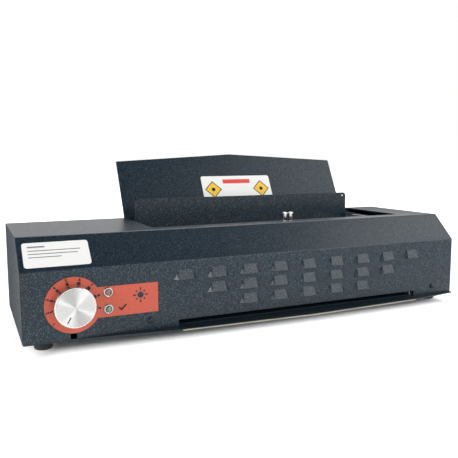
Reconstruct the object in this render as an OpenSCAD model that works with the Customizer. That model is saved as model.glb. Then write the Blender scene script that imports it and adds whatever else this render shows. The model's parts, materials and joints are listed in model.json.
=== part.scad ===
// Desktop infrared thermal copier of the pouch-laminator kind.
// A sheet goes in at the low front slot, round a heated glass drum, and comes out between two raised plates.
// Working coordinates: x across the machine from its middle, y back from the front face, z up from the
// base sheet. The last section shifts them so that the origin is the bottom centre of the bounding box.

/* [Housing] */
// Width of the sheet-metal housing
housing_w = 430; // [426:1:440]
// Depth of the housing, front face to rear face
housing_d = 136; // [136:1:142]
// Height of the housing above the base sheet
housing_h = 80; // [80:1:86]
// Height of the upright part of the front face
crease_h = 56; // [54:1:58]
// How far the sloping face runs back
slope_d = 25; // [22:1:28]
// Thickness of the housing sheets
sheet = 1.2; // [1:0.1:1.5]
// Height of the rubber feet
foot_h = 7.8; // [6:0.2:12]

/* [Paper path] */
// Sideways offset of the paper path from the middle of the housing
path_x = 36.5; // [34:0.5:38]
// Width of the feed slot
slot_w = 252; // [246:1:254]
// Height of the feed slot
slot_h = 5.2; // [5:0.1:6]
// Lean of the rear deflector from upright
deflector_lean = 27; // [20:1:32]
// Width of the rear deflector
deflector_w = 269; // [262:1:269]
// Slant height of the deflector at its peak
deflector_peak = 73.4; // [60:0.2:90]
// Slant height of the deflector at its two ends
deflector_end = 64.9; // [50:0.1:80]
// Height of the front exit guide above the housing top
guide_rise = 20; // [15:1:26]

/* [Drum and rollers] */
// Outer radius of the glass drum
drum_r = 25; // [24.5:0.1:25]
// Radius of the entry and exit rollers
small_roller_r = 6; // [5.8:0.1:6]
// Radius of the drive roller
drive_roller_r = 9; // [8.5:0.1:9.2]
// Thickness of the transport belt
belt_t = 1; // [0.8:0.1:1]

/* [Controls] */
// Diameter of the dial knob
knob_d = 32; // [28:0.5:34]
// How far the knob stands out from the front face
knob_h = 11.5; // [9:0.5:14]
// Pointer angle at the stop, clockwise from straight down
pointer_rest = 31; // [25:1:40]

/* [Louvres] */
// Spacing of louvres along a row
louvre_pitch = 30.5; // [29:0.2:32]
// Spacing of the three rows
louvre_row_pitch = 13.15; // [13:0.1:14]
// Width of a louvre's flat face
louvre_w = 13.6; // [12:0.2:16]
// How far a louvre stands out
louvre_out = 3.2; // [2.5:0.1:4]

/* [Hidden] */
$fn = 64;

eps = 0.01;
half_w = housing_w / 2;
bend_r = 2.4;

// paper path edges
slot_x0 = path_x - slot_w / 2;
slot_x1 = path_x + slot_w / 2;
slot_play = 3.2;
hem_x1 = slot_x1 - 4.5;
frame_gap = 263;
frame_x0 = path_x - frame_gap / 2;
frame_x1 = path_x + frame_gap / 2;
frame_h = 73;
frame_y1 = 132;

// opening in the housing top, from behind the front strip to the rear edge
open_x0 = path_x - 135;
open_x1 = path_x + 140;
open_y0 = 41;
deflector_x = path_x - 1.6;

// drum, rollers and their running gaps
drum_y = 68;
drum_z = 41;
drum_wall = 2.5;
belt_gap = 0.3;
belt_inner_r = drum_r + belt_gap;
roller_reach = belt_inner_r + belt_t + belt_gap + small_roller_r;
exit_angle = -35;
entry_y = drum_y;
entry_z = drum_z - roller_reach;
exit_y = drum_y + roller_reach * cos(exit_angle);
exit_z = drum_z + roller_reach * sin(exit_angle);
drive_y = 112;
drive_z = 15;
roller_x0 = slot_x0 + 1;
roller_x1 = slot_x1 - 1;
shaft_r = 3;
run_gap = 0.05;

// gear train on the left of the left frame
gear_m = 1;
drive_teeth = 22;
idler_teeth = 22;
pinion_teeth = 16;
idler_z = drive_z + gear_m * (drive_teeth + idler_teeth) / 2;
motor_z = idler_z + gear_m * (idler_teeth + pinion_teeth) / 2;
gear_x0 = frame_x0 - sheet - 8.8;
gear_x1 = gear_x0 + 6;
bracket_x1 = gear_x0 - 3;
bracket_x0 = bracket_x1 - sheet;

// drum end fittings
cap_flange = 3;
cap_plug = 6;
sleeve_r = 15;
sleeve_bore_r = 12.2;
sleeve_flange = 2;

// controls, measured from the housing's left side
dial_x = -half_w + 39.2;
dial_z = 27.4;
dial_disc_r = 22.4;
lamp_x = -half_w + 66.5;
power_lamp_z = 35.2;
ready_lamp_z = 21.4;
lamp_hole_r = 3.4;
label_t = 0.3;
knob_y0 = -knob_h;
front_screw_z = 7.8;
front_screws_x = [-half_w + 101.1, -half_w + 404.8];

// louvre field
louvre_x0 = -half_w + 132.2;
louvre_z = 44;
louvre_h = 8;
louvre_side = 3.4;
louvre_rows = [[0, 8], [1, 7], [2, 6]];

// front lip of the base sheet
lip_x0 = -half_w + 42;
lip_ends = 11;
lip_peak = 16;
hem_r = 0.6;

// feet
foot_inset_x = 17;
foot_ys = [16, 120];
foot_r = 7.7;

// screws
screw_hole_r = 1.6;
screw_r = 1.45;
screw_head_r = 2.4;
screw_head_h = 1.5;
screw_depth = 4.5;

// screws and foot that hold the deflector on the rear panel
rear_screws_x = [path_x - 110, path_x, path_x + 110];
rear_screw_z = 68;
deflector_foot = 22;

// fan and mains inlet on the rear panel
fan_x = -half_w + 24;
fan_z = 42;
fan_size = 40;
fan_depth = 10;
fan_hole_r = 18.4;
fan_screw = 16;
inlet_x = -half_w + 78;
inlet_z = 17;
inlet_screw = 20;
inlet_rim = 2.6;

// ---------- helpers ----------

// Extrudes a (y, z) outline along x.
module along_x(x0, x1) {
    translate([x0, 0, 0]) rotate([90, 0, 90]) linear_extrude(x1 - x0) children();
}

// Extrudes an (x, z) outline along y.
module along_y(y0, y1) {
    translate([0, y1, 0]) rotate([90, 0, 0]) linear_extrude(y1 - y0) children();
}

module rod_x(x0, x1, y, z, r) {
    translate([x0, y, z]) rotate([0, 90, 0]) cylinder(h = x1 - x0, r = r);
}

module rod_y(y0, y1, x, z, r) {
    translate([x, y0, z]) rotate([-90, 0, 0]) cylinder(h = y1 - y0, r = r);
}

module rod_z(z0, z1, x, y, r) {
    translate([x, y, z0]) cylinder(h = z1 - z0, r = r);
}

module box(a, b) {
    translate(a) cube(b - a);
}

function unit(v) = v / norm(v);
function turned(v) = [-v[1], v[0]];

// Points of an arc of radius r that rounds corner b between a and c.
function fillet(a, b, c, r, n = 6) =
    let (
        u = unit(a - b), v = unit(c - b),
        half = acos(u * v) / 2,
        centre = b + unit(u + v) * r / sin(half),
        p = b + u * r / tan(half) - centre,
        q = b + v * r / tan(half) - centre,
        sweep = 180 - 2 * half
    )
    [for (i = [0:n]) centre + (p * sin((1 - i / n) * sweep) + q * sin(i / n * sweep)) / sin(sweep)];

// A corner moved inwards by t, where the outline runs a-b-c with its inside on the right.
function inset_corner(a, b, c, t) =
    let (m = -turned(unit(b - a)), n = -turned(unit(c - b)))
    b + (m + n) * t / (1 + m * n);

// Closed outline with every corner rounded.
function rounded(points, r, n = 6) =
    let (k = len(points))
    [for (i = [0:k - 1]) each fillet(points[(i + k - 1) % k], points[i], points[(i + 1) % k], r, n)];

// Outline of a bent sheet that follows a path, with bends of outer radius r.
function bent_sheet(path, t, r) =
    let (k = len(path) - 1)
    concat(
        [path[0]],
        [for (i = [1:k - 1]) each fillet(path[i - 1], path[i], path[i + 1], r)],
        [path[k]],
        [path[k] - turned(unit(path[k] - path[k - 1])) * t],
        [for (i = [k - 1:-1:1]) each fillet(
            inset_corner(path[i], path[i + 1], path[i + 1] * 2 - path[i], t),
            inset_corner(path[i - 1], path[i], path[i + 1], t),
            inset_corner(path[i - 1] * 2 - path[i], path[i - 1], path[i], t),
            max(r - t, 0.2))],
        [path[0] - turned(unit(path[1] - path[0])) * t]
    );

// Cross-section of the housing, front edge to rear edge.
function housing_path() = [
    [0, 0], [0, crease_h], [slope_d, housing_h], [housing_d, housing_h]
];

// Involute gear outline with a tooth on the x axis.
function involute(a) = tan(a) * 180 / PI - a;
function tooth_half_angle(teeth, rho, backlash) =
    let (
        r = gear_m * teeth / 2,
        base_r = r * cos(20),
        at = rho > base_r ? acos(base_r / rho) : 0
    )
    90 / teeth - backlash / (4 * r) * 180 / PI + involute(20) - involute(at);
function gear_points(teeth, backlash = 0.24) =
    let (
        r = gear_m * teeth / 2,
        root = r - 1.25 * gear_m,
        tip = r + 0.9 * gear_m,
        rhos = [root, max(root, r * cos(20)), r - 0.3 * gear_m, r, r + 0.45 * gear_m, tip]
    )
    [for (i = [0:teeth - 1])
        let (mid = i * 360 / teeth)
        each concat(
            [for (rho = rhos)
                let (a = mid - tooth_half_angle(teeth, rho, backlash)) rho * [cos(a), sin(a)]],
            [for (k = [len(rhos) - 1:-1:0])
                let (a = mid + tooth_half_angle(teeth, rhos[k], backlash))
                rhos[k] * [cos(a), sin(a)]]
        )
    ];

module gear(teeth, turn, y, z, bore_r) {
    difference() {
        translate([0, y, z]) along_x(gear_x0, gear_x1) rotate(turn) polygon(gear_points(teeth));
        rod_x(gear_x0 - 1, gear_x1 + 1, y, z, bore_r);
    }
}

// ---------- housing ----------

// Outside shape of one pressed louvre, its top edge flush with the panel and its foot standing out.
// Each end is drawn in over a shoulder part way up, so its steep cheek is only as tall as that.
module louvre_wedge(w, out, side, h, back) {
    foot = w / 2;
    root = w / 2 + side;
    top = w / 2 - 0.235 * side;
    shoulder = [w / 2 + 0.235 * side, -0.15 * out, 0.605 * h];
    polyhedron(
        points = [
            [-root, back, 0], [root, back, 0], [top, back, h], [-top, back, h],
            [-root, 0, 0], [root, 0, 0], [top, 0, h], [-top, 0, h],
            [-foot, -out, 0], [foot, -out, 0],
            [-shoulder.x, shoulder.y, shoulder.z], shoulder
        ],
        faces = [
            [0, 1, 2, 3], [3, 7, 4, 0], [5, 6, 2, 1], [6, 7, 3, 2],
            [4, 8, 9, 5, 1, 0], [7, 6, 9, 8],
            [7, 8, 10], [8, 4, 10], [4, 7, 10],
            [9, 6, 11], [6, 5, 11], [5, 9, 11]
        ]
    );
}

module each_louvre() {
    for (row = [0:2])
        for (i = [louvre_rows[row][0]:louvre_rows[row][1]])
            translate([
                louvre_x0 + i * louvre_pitch,
                0,
                louvre_z - louvre_h / 2 - row * louvre_row_pitch
            ]) children();
}

module housing_end(x0) {
    p = housing_path();
    along_x(x0, x0 + sheet) polygon(concat(
        [p[0]],
        fillet(p[0], p[1], p[2], bend_r),
        fillet(p[1], p[2], p[3], bend_r),
        [p[3], [housing_d, 0]]
    ));
}

module housing_cover() {
    color([0.17, 0.22, 0.27]) difference() {
        union() {
            along_x(-half_w, half_w) polygon(bent_sheet(housing_path(), sheet, bend_r));
            housing_end(-half_w);
            housing_end(half_w - sheet);
            each_louvre() louvre_wedge(louvre_w, louvre_out, louvre_side, louvre_h, sheet / 2);
        }
        each_louvre() translate([0, 0, -eps])
            louvre_wedge(louvre_w - 1.2, louvre_out - 1, louvre_side - 0.6, louvre_h - 2.4, sheet + 1);
        box([open_x0, open_y0, housing_h - 6], [open_x1, housing_d + 1, housing_h + 1]);
        box([slot_x0 + 0.4, -1, -1], [slot_x1 + slot_play, sheet + 1, slot_h]);
        box([-half_w + 36, -1, -1], [-half_w + 41, sheet + 1, 4.4]);
        rod_y(-1, sheet + 1, dial_x, dial_z, 3.6);
        for (z = [power_lamp_z, ready_lamp_z]) rod_y(-1, sheet + 1, lamp_x, z, lamp_hole_r);
        for (x = front_screws_x) rod_y(-1, sheet + 1, x, front_screw_z, screw_hole_r);
    }
}

// Front outline of the base sheet: set back at the left, then a lip that peaks at the paper path.
function lip_outline() = [
    [lip_x0, 0.5], [lip_x0, -0.8], [slot_x0, -lip_ends], [path_x, -lip_peak],
    [slot_x1, -lip_ends], [half_w, -3], [half_w, 0.5]
];

module base_tray() {
    flange_y = sheet + 0.1;
    color([0.13, 0.17, 0.22]) difference() {
        union() {
            translate([0, 0, -sheet]) linear_extrude(sheet) polygon(concat(
                [[-half_w + 0.6, housing_d - 0.6], [-half_w + 0.6, 0.5]],
                lip_outline(),
                [[half_w - 0.6, 0.5], [half_w - 0.6, housing_d - 0.6]]
            ));
            box([-half_w + 46, flange_y, -eps], [slot_x0 - 4, flange_y + sheet, 14]);
            box([slot_x1 + 4, flange_y, -eps], [half_w - 6, flange_y + sheet, 14]);
            for (s = [-1, 1])
                translate([s * (half_w - sheet - 0.1) - (s > 0 ? sheet : 0), 6, -eps])
                    cube([sheet, housing_d - 16, 12]);
        }
        for (x = front_screws_x) rod_y(0, 6, x, front_screw_z, screw_r + 0.1);
        for (i = [0:9]) box([path_x - 100 + i * 20, 30, -2], [path_x - 90 + i * 20, 33, 1]);
    }
}

// Closes the back, with vent slots, the fan hole, the inlet window and screw holes.
module rear_panel() {
    inner_w = half_w - sheet - 0.2;
    y0 = housing_d - sheet;
    cut0 = y0 - 1;
    cut1 = housing_d + 1;
    color([0.15, 0.19, 0.24]) difference() {
        box([-inner_w, y0, 0], [inner_w, housing_d, housing_h - sheet - 0.1]);
        for (i = [0:5]) box([half_w - 40 + i * 5, cut0, 16], [half_w - 37.5 + i * 5, cut1, 50]);
        rod_y(cut0, cut1, fan_x, fan_z, fan_hole_r);
        for (sx = [-1, 1], sz = [-1, 1])
            rod_y(cut0, cut1, fan_x + sx * fan_screw, fan_z + sz * fan_screw, screw_hole_r);
        box([inlet_x - 13.6, cut0, inlet_z - 9.8], [inlet_x + 13.6, cut1, inlet_z + 9.8]);
        for (s = [-1, 1]) rod_y(cut0, cut1, inlet_x + s * inlet_screw, inlet_z, screw_hole_r);
        for (x = rear_screws_x) rod_y(cut0, cut1, x, rear_screw_z, screw_hole_r);
    }
}

// ---------- exit plates and guides ----------

// Leaning plate with a shallow peak, and the foot that fastens it to the rear panel.
module exit_deflector() {
    y0 = housing_d + eps;
    over = deflector_peak + 1;
    half = deflector_w / 2;
    side = half + 1;
    color([0.16, 0.2, 0.25]) difference() {
        along_x(deflector_x - half, deflector_x + half) polygon(bent_sheet([
            [y0, housing_h - deflector_foot],
            [y0, housing_h],
            [y0 + over * sin(deflector_lean), housing_h + over * cos(deflector_lean)]
        ], sheet, 2));
        translate([deflector_x, y0, housing_h]) rotate([-deflector_lean, 0, 0])
            along_y(-1, sheet + 1) polygon([
                [-side, deflector_end], [0, deflector_peak], [side, deflector_end],
                [side, over + 1], [-side, over + 1]
            ]);
        for (x = rear_screws_x) rod_y(housing_d - 2, housing_d + 4, x, rear_screw_z, screw_hole_r);
    }
}

guide_y = 120;
guide_half_w = 128.5;
apron_top = frame_h - 2.4;
apron_foot = [guide_y - 19, 47];
ear_out = 9;
ear_z = frame_h + sheet + 0.1;
ear_edge = 1.4;
ear_rise = 5;
ear_foot = 7;

// One ear of the exit guide, flat on the side frame's flange.
module guide_ear_foot(s) {
    x = path_x + s * (guide_half_w + ear_out / 2);
    reach = ear_out / 2 + 4;
    box([x - reach, guide_y - ear_foot, ear_z], [x + reach, guide_y + sheet, ear_z + sheet]);
}

// Upright front plate of the exit, with rounded top corners, a flared foot at each end and a sloping apron.
module exit_guide() {
    top = housing_h + guide_rise;
    x0 = path_x - guide_half_w;
    x1 = path_x + guide_half_w;
    color([0.16, 0.19, 0.24]) difference() {
        union() {
            along_y(guide_y, guide_y + sheet) polygon(concat(
                [[x0, apron_top], [x1, apron_top], [x1, ear_z]],
                [[x1 + ear_out, ear_z], [x1 + ear_out, ear_z + ear_edge], [x1, ear_z + ear_rise]],
                fillet([x1, 0], [x1, top], [x0, top], 4),
                fillet([x1, top], [x0, top], [x0, 0], 4),
                [[x0, ear_z + ear_rise], [x0 - ear_out, ear_z + ear_edge], [x0 - ear_out, ear_z], [x0, ear_z]]
            ));
            along_x(frame_x0 + 4, frame_x1 - 4) polygon([
                [guide_y, apron_top + eps], [guide_y + sheet, apron_top + eps],
                [apron_foot[0] + sheet, apron_foot[1]], apron_foot
            ]);
            for (s = [-1, 1]) guide_ear_foot(s);
        }
        for (s = [-1, 1]) rod_y(110, 130, path_x + s * (guide_half_w - 4.4), top - 3.6, 1);
    }
}

// Sloping sheet behind the paper, from the belt up to the rear panel.
module exit_chute() {
    color([0.6, 0.61, 0.62]) along_x(frame_x0 + 1, frame_x1 - 1) polygon(bent_sheet([
        [102.5, 36], [housing_d - sheet - 6, 70], [housing_d - sheet - 1.6, 76]
    ], 1, 2));
}

// Lower guide from the slot up to the drum, with a window for the switch lever.
switch_x = slot_x0 + 20;
module feed_ramp() {
    color([0.13, 0.17, 0.22]) difference() {
        along_x(slot_x0 + 0.5, slot_x1 - 0.5) polygon(bent_sheet([
            [3, 0.9], [8, 1.4], [61, 14.6]
        ], 0.8, 3));
        box([switch_x - 3, 24, 0], [switch_x + 3, 46, 20]);
    }
}

module upper_feed_guide() {
    color([0.58, 0.59, 0.6]) difference() {
        along_x(frame_x0 + 1, frame_x1 - 1) polygon(bent_sheet([
            [3.4, 15], [3.4, 6.6], [40, 15.2], [40, 24]
        ], 0.8, 1.6));
        box([switch_x - 3, 18, 0], [switch_x + 3, 41.5, 30]);
    }
}

// Bright rolled hem along the front edge of the lip, in line with the slot.
module feed_lip_hem() {
    reach = norm([slot_w / 2, lip_peak - lip_ends]);
    turn = atan2(lip_peak - lip_ends, slot_w / 2);
    color([0.85, 0.84, 0.8]) intersection() {
        for (s = [-1, 1])
            translate([path_x, -lip_peak - hem_r, -sheet / 2]) rotate([0, s * 90, s * turn])
                cylinder(h = reach + 2, r = hem_r, $fn = 24);
        box([slot_x0, -lip_peak - 4, -4], [hem_x1, 0, 4]);
    }
}

// ---------- frames ----------

rod_r = 4;
rod_screw_r = 1.95;
rod_head_r = 3.4;

// One side frame, with an edge guide for the sheet just inside the slot.
module frame_plate(x0, outward) {
    flange_x0 = outward < 0 ? x0 - 12.8 : x0;
    edge_x = path_x + outward * (slot_w / 2 + 0.4);
    edge_out = edge_x + outward;
    inner_x = outward < 0 ? x0 + eps : x0 + sheet - eps;
    difference() {
        union() {
            along_x(x0, x0 + sheet) polygon([
                [5, eps], [frame_y1, eps], [frame_y1, frame_h], [30, frame_h], [5, 50]
            ]);
            box([flange_x0, 56, frame_h - 0.1], [flange_x0 + 12.8 + sheet, frame_y1, frame_h + sheet]);
            box([flange_x0, 48, eps], [flange_x0 + 12.8 + sheet, 84, sheet]);
            box([min(edge_x, edge_out), 3.4, eps], [max(edge_x, edge_out), 20, 5.6]);
            box([min(edge_x, inner_x), 6, eps], [max(edge_x, inner_x), 20, sheet]);
        }
        rod_x(x0 - 1, x0 + sheet + 1, drum_y, drum_z, sleeve_bore_r);
        for (p = roller_centres()) rod_x(x0 - 1, x0 + sheet + 1, p[0], p[1], 5);
        for (p = tie_rod_centres()) rod_x(x0 - 1, x0 + sheet + 1, p[0], p[1], rod_screw_r + 0.05);
    }
}

function roller_centres() = [[entry_y, entry_z], [exit_y, exit_z], [drive_y, drive_z]];
function tie_rod_centres() = [[22, 50], [100, 66], [127, 8]];

module side_frame_left() {
    color([0.66, 0.67, 0.66]) difference() {
        frame_plate(frame_x0 - sheet, -1);
        rod_x(frame_x0 - 5, frame_x0 + 5, drive_y, idler_z, 3);
    }
}

module side_frame_right() {
    color([0.66, 0.67, 0.66]) frame_plate(frame_x1, 1);
}

// Cross rods with a screw in each end.
module tie_rods() {
    color([0.7, 0.71, 0.72]) for (p = tie_rod_centres()) {
        rod_x(frame_x0, frame_x1, p[0], p[1], rod_r);
        rod_x(frame_x0 - sheet - 2, frame_x0 + eps, p[0], p[1], rod_screw_r);
        rod_x(frame_x1 - eps, frame_x1 + sheet + 2, p[0], p[1], rod_screw_r);
        rod_x(frame_x0 - sheet - 4, frame_x0 - sheet - eps, p[0], p[1], rod_head_r);
        rod_x(frame_x1 + sheet + eps, frame_x1 + sheet + 4, p[0], p[1], rod_head_r);
    }
}

stud_y = 55;
stud_xs = [-half_w + 259.8, -half_w + 266.2];
stud_top = 86.8;

module upper_cross_bar() {
    color([0.64, 0.65, 0.65]) difference() {
        along_x(frame_x0 + 0.1, frame_x1 - 0.1) polygon(bent_sheet([
            [48.6, 66], [48.6, frame_h + sheet], [61.4, frame_h + sheet], [61.4, 69]
        ], sheet, 1.8));
        for (x = stud_xs) rod_z(60, 80, x, stud_y, 1.5);
    }
}

// Two polished mushroom-headed studs that stand up behind the housing's front strip.
module guide_studs() {
    color([0.86, 0.86, 0.85]) for (x = stud_xs) {
        rod_z(frame_h + sheet + eps, stud_top - 1.4, x, stud_y, 2);
        rod_z(frame_h - 4, frame_h + sheet + 0.1, x, stud_y, 1.45);
        rod_z(frame_h - 3, frame_h - eps, x, stud_y, 2.8);
        translate([x, stud_y, stud_top - 1.6]) rotate_extrude() polygon([
            [0, 0], [3.1, 0], [3.1, 0.5], [2.6, 1.1], [1.5, 1.5], [0, 1.6]
        ]);
    }
}

// ---------- drum and lamp ----------

module glass_drum() {
    color([0.82, 0.88, 0.88, 0.35]) difference() {
        rod_x(slot_x0, slot_x1, drum_y, drum_z, drum_r);
        rod_x(slot_x0 - 1, slot_x1 + 1, drum_y, drum_z, drum_r - drum_wall);
    }
}

module end_cap(x_edge, s) {
    outer = x_edge + s * cap_flange;
    inner = x_edge - s * cap_plug;
    difference() {
        union() {
            rod_x(min(x_edge, outer), max(x_edge, outer), drum_y, drum_z, drum_r);
            rod_x(min(x_edge, inner), max(x_edge, inner), drum_y, drum_z, drum_r - drum_wall - 0.02);
        }
        rod_x(min(inner, outer) - 1, max(inner, outer) + 1, drum_y, drum_z, sleeve_r + run_gap);
    }
}

module drum_end_caps() {
    color([0.74, 0.75, 0.76]) {
        end_cap(slot_x0 - eps, -1);
        end_cap(slot_x1 + eps, 1);
    }
}

// Fixed flanged tubes on the side frames that the drum turns on.
module drum_sleeve(x_frame, s) {
    tip = x_frame + s * (sleeve_flange + cap_flange + cap_plug + 1);
    face = x_frame + s * eps;
    rim = x_frame + s * sleeve_flange;
    difference() {
        union() {
            rod_x(min(face, tip), max(face, tip), drum_y, drum_z, sleeve_r);
            rod_x(min(face, rim), max(face, rim), drum_y, drum_z, 19);
        }
        rod_x(min(face, tip) - 1, max(face, tip) + 1, drum_y, drum_z, sleeve_bore_r);
    }
}

module drum_sleeves() {
    color([0.78, 0.68, 0.45]) {
        drum_sleeve(frame_x0, 1);
        drum_sleeve(frame_x1, -1);
    }
}

lamp_r = 5;
lamp_x0 = slot_x0 - 2;
lamp_x1 = slot_x1 + 2;

module heat_lamp_tube() {
    color([0.9, 0.92, 0.94, 0.4]) difference() {
        rod_x(lamp_x0, lamp_x1, drum_y, drum_z, lamp_r);
        rod_x(lamp_x0 + 3, lamp_x1 - 3, drum_y, drum_z, lamp_r - 1);
    }
}

// Tungsten filament with its disc supports.
module heat_lamp_filament() {
    color([0.45, 0.44, 0.42]) {
        rod_x(lamp_x0 + 3.2, lamp_x1 - 3.2, drum_y, drum_z, 0.8);
        for (i = [1:12]) {
            x = lamp_x0 + i * (lamp_x1 - lamp_x0) / 13;
            rod_x(x - 0.3, x + 0.3, drum_y, drum_z, 2.6);
        }
    }
}

module lamp_end_ceramics() {
    color([0.92, 0.9, 0.85]) {
        rod_x(lamp_x0 - 16, lamp_x0 - eps, drum_y, drum_z, 6);
        rod_x(lamp_x1 + eps, lamp_x1 + 16, drum_y, drum_z, 6);
    }
}

// Spring-steel angle on each frame that grips a ceramic.
module lamp_holder(x_face, s) {
    a = x_face + s * eps;
    b = x_face + s * 1.2;
    c = x_face + s * 9;
    difference() {
        union() {
            box([min(a, b), drum_y - 17, drum_z - 17], [max(a, b), drum_y + 17, drum_z - 6]);
            box([min(a, c), drum_y - 6, drum_z - 9], [max(a, c), drum_y + 6, drum_z - 7.8]);
            rod_x(min(b, c), max(b, c), drum_y, drum_z, 8);
        }
        rod_x(min(a, c) - 1, max(a, c) + 1, drum_y, drum_z, 6.02);
        box([min(a, c) - 1, drum_y - 2, drum_z], [max(a, c) + 1, drum_y + 2, drum_z + 12]);
    }
}

module lamp_holders() {
    color([0.72, 0.72, 0.7]) {
        lamp_holder(frame_x0 - sheet, -1);
        lamp_holder(frame_x1 + sheet, 1);
    }
}

// Polished trough round the lamp, open towards the belt.
module reflector() {
    r = 12;
    middle = (exit_angle - 90) / 2;
    color([0.9, 0.91, 0.92]) translate([0, drum_y, drum_z])
        along_x(frame_x0 + 1, frame_x1 - 1) rotate(middle) polygon(concat(
            [for (a = [65:10:295]) r * [cos(a), sin(a)]],
            [for (a = [295:-10:65]) (r - 0.8) * [cos(a), sin(a)]]
        ));
}

// ---------- belt and rollers ----------

module belt_space(grow, drum_cut) {
    difference() {
        hull() {
            translate([entry_y, entry_z]) circle(small_roller_r + grow);
            translate([exit_y, exit_z]) circle(small_roller_r + grow);
            translate([drive_y, drive_z]) circle(drive_roller_r + grow);
        }
        translate([drum_y, drum_z]) circle(drum_cut, $fn = 120);
    }
}

module transport_belt() {
    color([0.24, 0.25, 0.25]) along_x(slot_x0 + 3.5, slot_x1 - 3.5) difference() {
        belt_space(belt_gap + belt_t, belt_inner_r);
        belt_space(belt_gap, belt_inner_r + belt_t);
    }
}

module roller(y, z, r) {
    difference() {
        rod_x(roller_x0, roller_x1, y, z, r);
        rod_x(roller_x0 - 1, roller_x1 + 1, y, z, shaft_r);
    }
}

module roller_shaft(x0, y, z) {
    rod_x(x0, frame_x1 + sheet + 3, y, z, shaft_r);
}

module drive_roller() color([0.2, 0.2, 0.21]) roller(drive_y, drive_z, drive_roller_r);
module entry_roller() color([0.5, 0.22, 0.17]) roller(entry_y, entry_z, small_roller_r);
module exit_roller() color([0.5, 0.22, 0.17]) roller(exit_y, exit_z, small_roller_r);
module drive_roller_shaft() color([0.75, 0.76, 0.77]) roller_shaft(gear_x0 - 1.5, drive_y, drive_z);
module entry_roller_shaft() color([0.75, 0.76, 0.77]) roller_shaft(frame_x0 - sheet - 3, entry_y, entry_z);
module exit_roller_shaft() color([0.75, 0.76, 0.77]) roller_shaft(frame_x0 - sheet - 3, exit_y, exit_z);

// Flanged bronze bushes, one each side for every roller.
module bush(x_frame, s, p) {
    out = x_frame - s * (sheet + 1);
    rim = x_frame + s * 1.5;
    difference() {
        union() {
            rod_x(min(out, rim), max(out, rim), p[0], p[1], 4.98);
            rod_x(min(x_frame + s * eps, rim), max(x_frame + s * eps, rim), p[0], p[1], 6.2);
        }
        rod_x(min(out, rim) - 1, max(out, rim) + 1, p[0], p[1], shaft_r + run_gap);
    }
}

module roller_bushes() {
    color([0.72, 0.55, 0.3]) for (p = roller_centres()) {
        bush(frame_x0, 1, p);
        bush(frame_x1, -1, p);
    }
}

// ---------- drive ----------

module drive_gear() {
    color([0.85, 0.84, 0.8]) gear(drive_teeth, 90, drive_y, drive_z, shaft_r);
}

module idler_gear() {
    color([0.85, 0.84, 0.8]) gear(idler_teeth, 90 + 180 / idler_teeth, drive_y, idler_z, shaft_r + run_gap);
}

module idler_axle() {
    color([0.75, 0.76, 0.77]) {
        rod_x(gear_x0 - 1.2, frame_x0 - eps, drive_y, idler_z, shaft_r - 0.01);
        rod_x(gear_x0 - 2.2, gear_x0 - 1.2, drive_y, idler_z, 4.4);
        difference() {
            rod_x(gear_x1 + 0.4, frame_x0 - sheet - eps, drive_y, idler_z, 5);
            rod_x(gear_x1, frame_x0, drive_y, idler_z, shaft_r - 0.02);
        }
    }
}

motor_shaft_r = 2.5;

module motor_pinion() {
    color([0.8, 0.72, 0.45]) gear(pinion_teeth, 270, drive_y, motor_z, motor_shaft_r);
}

module motor_shaft() {
    color([0.75, 0.76, 0.77]) rod_x(bracket_x0 - 14, gear_x1 + 1, drive_y, motor_z, motor_shaft_r);
}

module gearbox() {
    color([0.6, 0.6, 0.58]) difference() {
        union() {
            rod_x(bracket_x0 - 20, bracket_x0 - eps, drive_y, motor_z, 17.6);
            rod_x(bracket_x0 - eps * 2, bracket_x1 + 1, drive_y, motor_z, 5.9);
        }
        rod_x(bracket_x0 - 15, bracket_x1 + 5, drive_y, motor_z, motor_shaft_r + run_gap);
    }
}

module motor_can() {
    color([0.3, 0.31, 0.33]) {
        rod_x(bracket_x0 - 52, bracket_x0 - 20 - eps, drive_y, motor_z, 14);
        rod_x(bracket_x0 - 55, bracket_x0 - 52 - eps, drive_y, motor_z, 5);
        for (y = [drive_y - 9, drive_y + 9])
            box([bracket_x0 - 58, y - 1.5, motor_z - 0.4], [bracket_x0 - 52, y + 1.5, motor_z + 0.4]);
    }
}

// Plate that carries the gearmotor on three spacers.
module motor_bracket() {
    spacers = [[95, 55], [129, 66], [94.5, 33]];
    color([0.66, 0.67, 0.66]) difference() {
        union() {
            along_x(bracket_x0, bracket_x1) polygon(rounded([
                [90.5, 28], [132.5, 28], [132.5, 72], [90.5, 72]
            ], 3));
            for (p = spacers) rod_x(bracket_x1 - eps, frame_x0 - sheet - eps, p[0], p[1], 2.8);
        }
        rod_x(bracket_x0 - 1, bracket_x1 + 1, drive_y, motor_z, 6);
        rod_x(bracket_x0 - 1, bracket_x1 + 1, drive_y, idler_z, 5);
    }
}

// ---------- fan ----------

fan_y1 = housing_d - sheet - 0.02;
fan_y0 = fan_y1 - fan_depth;

module fan_frame() {
    h = fan_size / 2;
    color([0.12, 0.12, 0.13]) difference() {
        union() {
            difference() {
                along_y(fan_y0, fan_y1) translate([fan_x, fan_z]) polygon(rounded([
                    [-h, -h], [h, -h], [h, h], [-h, h]
                ], 2.5));
                rod_y(fan_y0 - 1, fan_y1 + 1, fan_x, fan_z, fan_hole_r + 0.2);
            }
            rod_y(fan_y0 + 0.2, fan_y0 + 1.4, fan_x, fan_z, 9);
            for (a = [45, 165, 285])
                translate([fan_x, fan_y0 + 0.2, fan_z]) rotate([0, a, 0]) translate([0, 0, -1])
                    cube([19, 1.2, 2]);
        }
        for (sx = [-1, 1], sz = [-1, 1])
            rod_y(fan_y0 - 1, fan_y1 + 1, fan_x + sx * fan_screw, fan_z + sz * fan_screw, screw_hole_r);
    }
}

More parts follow.
